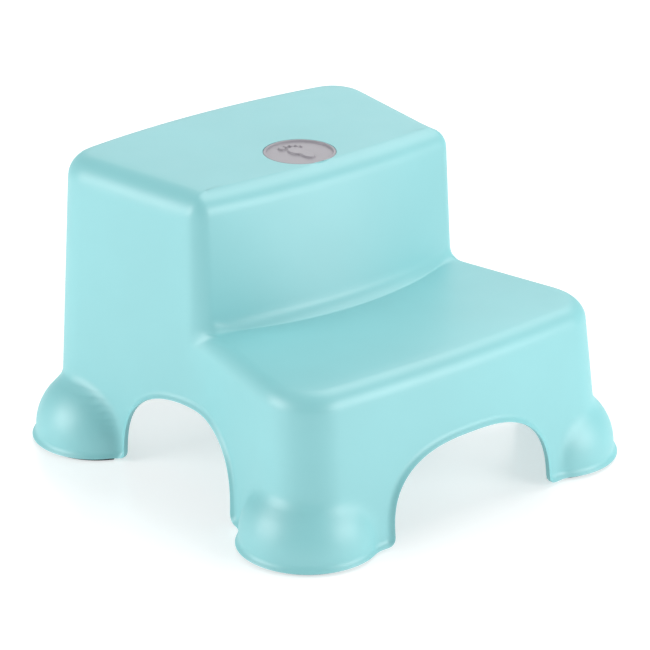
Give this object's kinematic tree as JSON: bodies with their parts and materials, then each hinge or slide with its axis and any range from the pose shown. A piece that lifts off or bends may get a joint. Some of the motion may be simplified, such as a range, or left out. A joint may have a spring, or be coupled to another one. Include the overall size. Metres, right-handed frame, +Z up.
{
  "type": "two-step stool",
  "caption": "Free-standing two-step stool: a hollow moulded shell with arched walls, bell-shaped feet, rubber foot pads and a round badge plate in the upper tread.",
  "frame": {"origin": "centre of the footprint, on the floor under the pads", "axes": "+Z up; -Y points to the front, where the lower tread is; +X runs across the stool"},
  "size_m": [0.3454, 0.3396, 0.22],
  "materials": {
    "mint_plastic": "satin injection-moulded polypropylene, mint green",
    "grey_rubber": "matte dark grey soft rubber",
    "grey_plastic": "fine satin grey plastic"
  },
  "bodies": {
    "root": {"stool_body": "mint_plastic", "foot_pad_front_left": "grey_rubber", "foot_pad_front_right": "grey_rubber", "foot_pad_back_left": "grey_rubber", "foot_pad_back_right": "grey_rubber", "badge_plate": "grey_plastic"}
  },
  "joints": []
}
